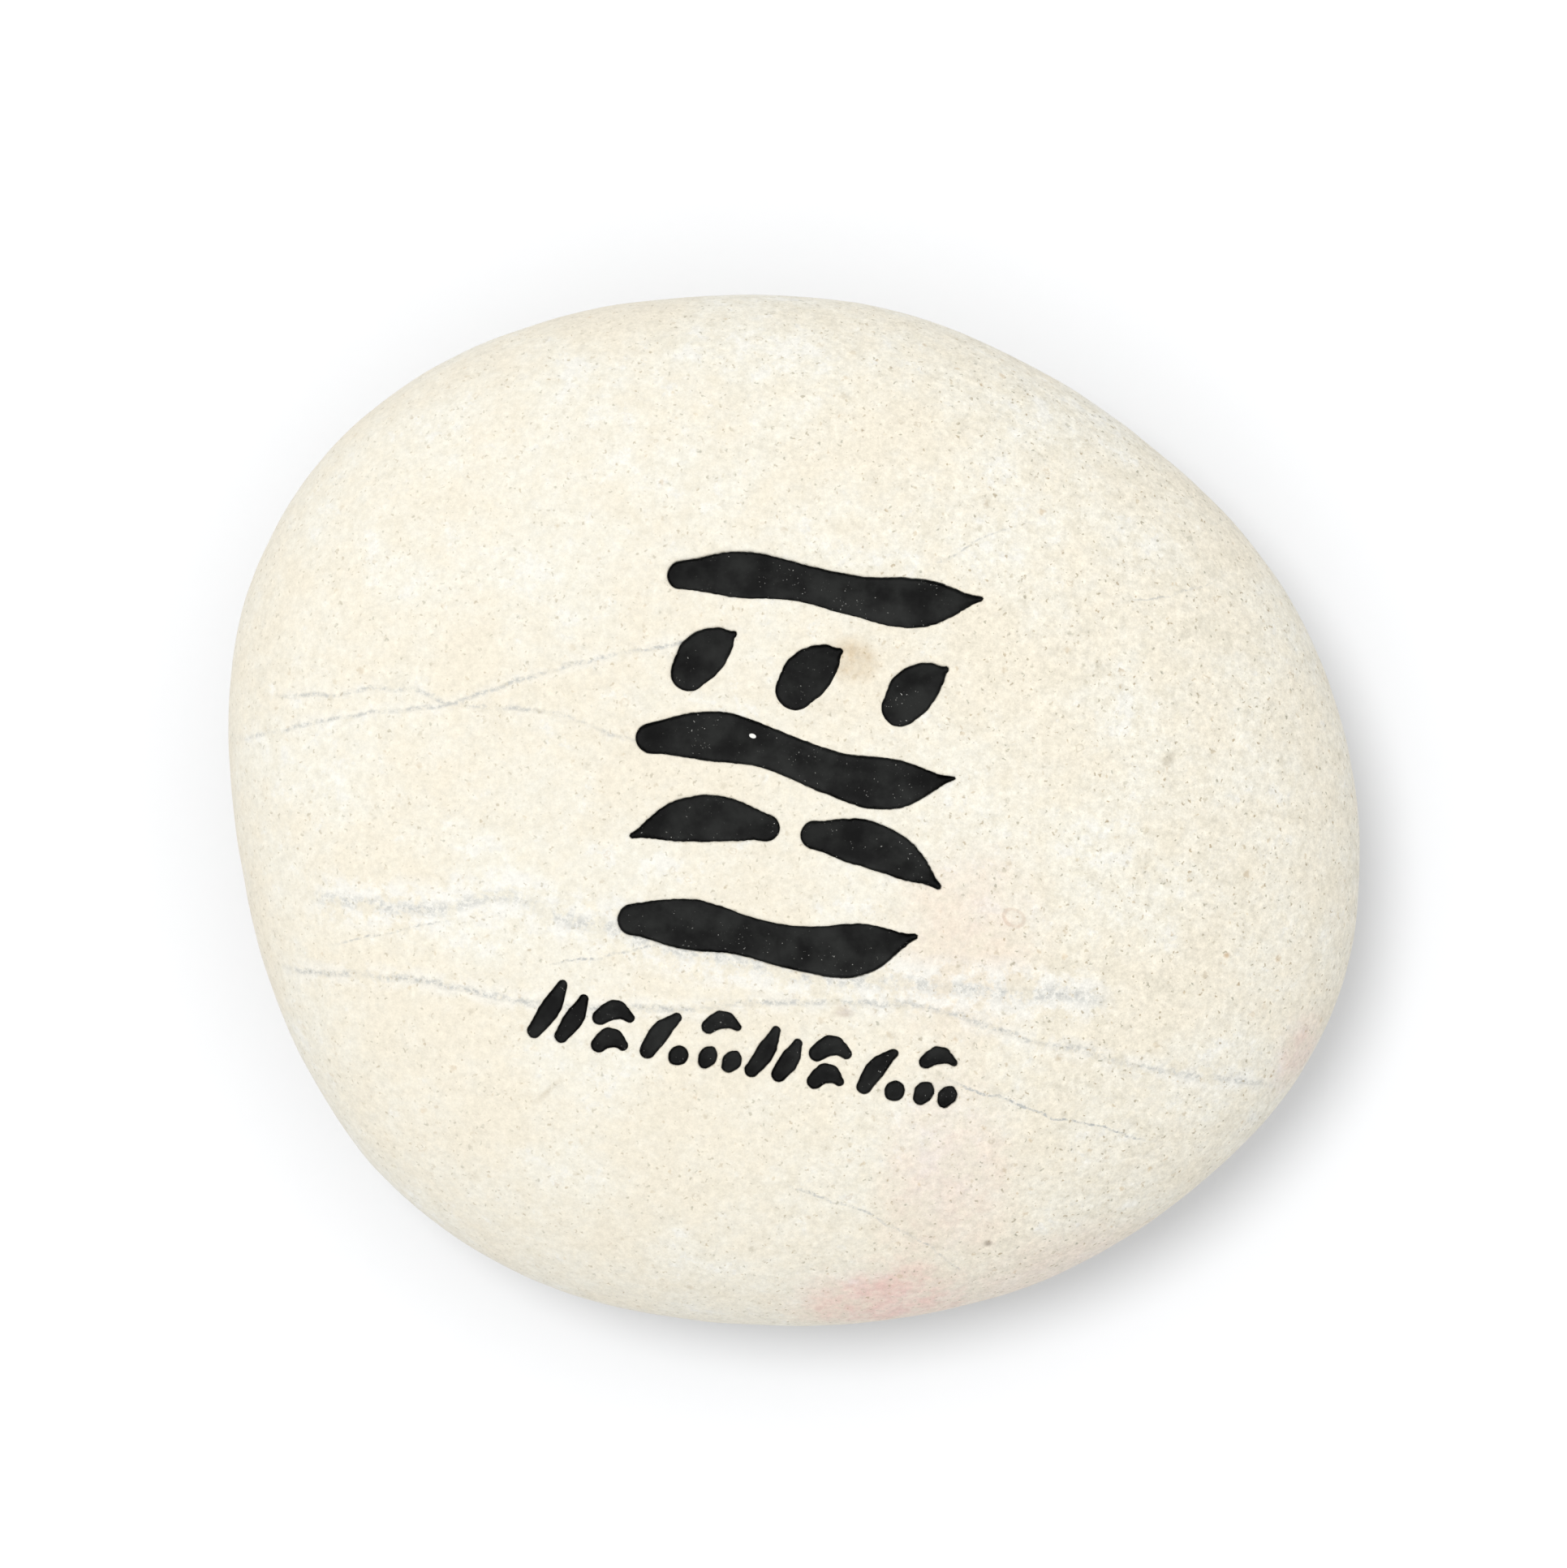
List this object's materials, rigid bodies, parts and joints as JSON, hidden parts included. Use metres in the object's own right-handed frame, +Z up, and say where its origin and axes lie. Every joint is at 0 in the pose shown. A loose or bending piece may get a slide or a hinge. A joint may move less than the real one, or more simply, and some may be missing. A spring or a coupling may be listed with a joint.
{
  "type": "engraved river pebble",
  "caption": "Palm-sized water-rounded pebble with rows of shallow painted strokes engraved in its upper face, resting on a flat spot underneath.",
  "frame": {"origin": "centre of the flat spot under the stone, below the middle of its outline", "axes": "+X along the rows of the engraving, the stone's longest way; +Y towards the top of the engraving; +Z up out of the engraved face"},
  "size_m": [0.0756, 0.0678, 0.025],
  "materials": {
    "stone": "cream water-rounded stone, smooth and matt to satin, speckled and faintly veined; the engraved strokes are coated with satin black paint"
  },
  "bodies": {
    "root": {"engraved_pebble": "stone"}
  },
  "joints": []
}
